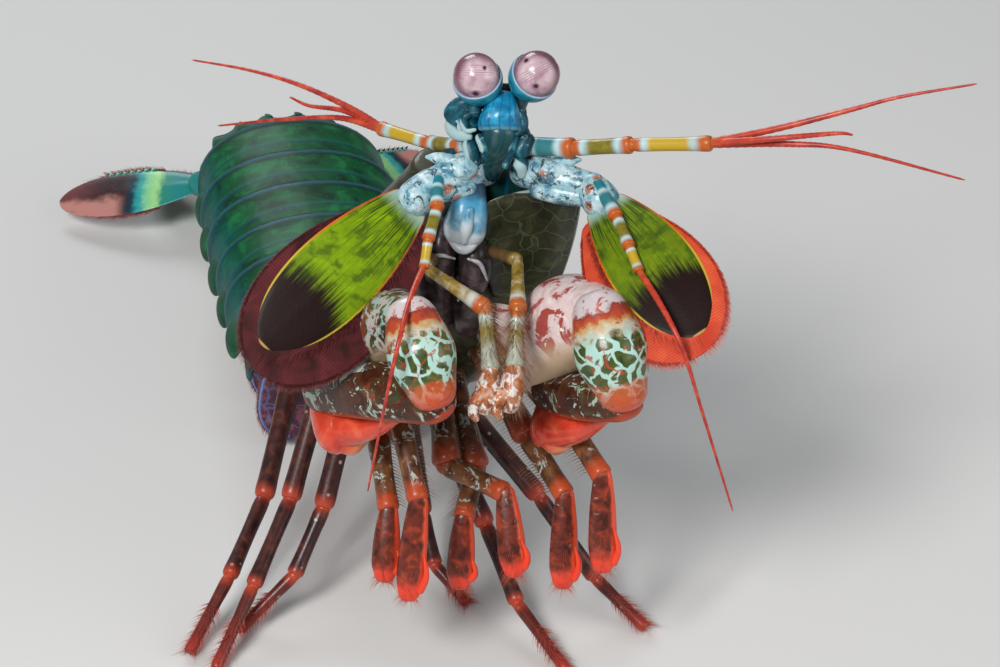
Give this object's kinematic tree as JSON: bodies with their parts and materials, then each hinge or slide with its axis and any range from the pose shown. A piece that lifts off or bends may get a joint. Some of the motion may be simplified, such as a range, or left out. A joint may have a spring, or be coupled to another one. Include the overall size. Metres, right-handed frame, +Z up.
{
  "type": "mantis shrimp",
  "caption": "Still, life-size peacock mantis shrimp reared up on its walking legs, claws folded, feelers spread and tail fan open.",
  "frame": {"origin": "on the floor, under the middle of the animal's bounding box", "axes": "+Z up; -Y is the way the animal faces; +X is its left"},
  "size_m": [0.1356, 0.1482, 0.0887],
  "materials": {
    "carapace_shell": "olive-brown shell, semi-gloss",
    "abdomen_shell": "dark green shell with teal edges, semi-gloss",
    "face_shell": "bright blue and teal shell, semi-gloss",
    "cornea": "pale mauve faceted eye surface, glossy",
    "tail_blade": "teal and black-maroon blade with cyan and lime patches",
    "antennal_scale": "green blade with a black-maroon spot, yellow-orange rim and red bristles",
    "antenna_base": "blue and white marbled shell",
    "feeler": "yellow, olive and orange articles with red whips",
    "club": "red, polished",
    "claw_shell": "green-brown shell with white marbling and teal net",
    "mouthparts": "blue, white and dark purple plates",
    "cleaning_limb": "olive-yellow and orange, bristly",
    "arm": "olive-brown with white patches, orange joints and red-tipped hands",
    "leg": "dark maroon with red joints and red bristle brushes",
    "pleopod": "dark purple flap with a pink bristle fringe and blue veins"
  },
  "bodies": {
    "root": {"carapace": "carapace_shell", "head": "face_shell", "thorax_6": "carapace_shell", "thorax_7": "carapace_shell", "thorax_8": "carapace_shell", "abdomen_1": "abdomen_shell", "abdomen_2": "abdomen_shell", "abdomen_3": "abdomen_shell", "abdomen_4": "abdomen_shell", "abdomen_5": "abdomen_shell", "abdomen_6": "abdomen_shell", "telson": "abdomen_shell", "uropod_R": "tail_blade", "uropod_L": "tail_blade", "cornea_R": "cornea", "cornea_L": "cornea", "eyestalk_R": "face_shell", "eyestalk_L": "face_shell", "rostrum": "face_shell", "antennule_R": "feeler", "antennule_L": "feeler", "antenna_base_R": "antenna_base", "antenna_base_L": "antenna_base", "antenna_feeler_R": "feeler", "antenna_feeler_L": "feeler", "antenna_scale_R": "antennal_scale", "antenna_scale_L": "antennal_scale", "mouth": "mouthparts", "claw_merus_R": "claw_shell", "claw_merus_L": "claw_shell", "claw_carpus_R": "claw_shell", "claw_carpus_L": "claw_shell", "claw_propodus_R": "claw_shell", "claw_propodus_L": "claw_shell", "claw_dactyl_R": "club", "claw_dactyl_L": "club", "maxilliped_1_R": "cleaning_limb", "maxilliped_1_L": "cleaning_limb", "maxilliped_3_R": "arm", "maxilliped_4_R": "arm", "maxilliped_5_R": "arm", "maxilliped_3_L": "arm", "maxilliped_4_L": "arm", "maxilliped_5_L": "arm", "walking_leg_1_R": "leg", "walking_leg_2_R": "leg", "walking_leg_3_R": "leg", "walking_leg_1_L": "leg", "walking_leg_2_L": "leg", "walking_leg_3_L": "leg", "pleopod_1_R": "pleopod", "pleopod_1_L": "pleopod", "pleopod_2_R": "pleopod", "pleopod_2_L": "pleopod", "pleopod_3_R": "pleopod", "pleopod_3_L": "pleopod", "pleopod_4_R": "pleopod", "pleopod_4_L": "pleopod", "pleopod_5_R": "pleopod", "pleopod_5_L": "pleopod"}
  },
  "joints": []
}
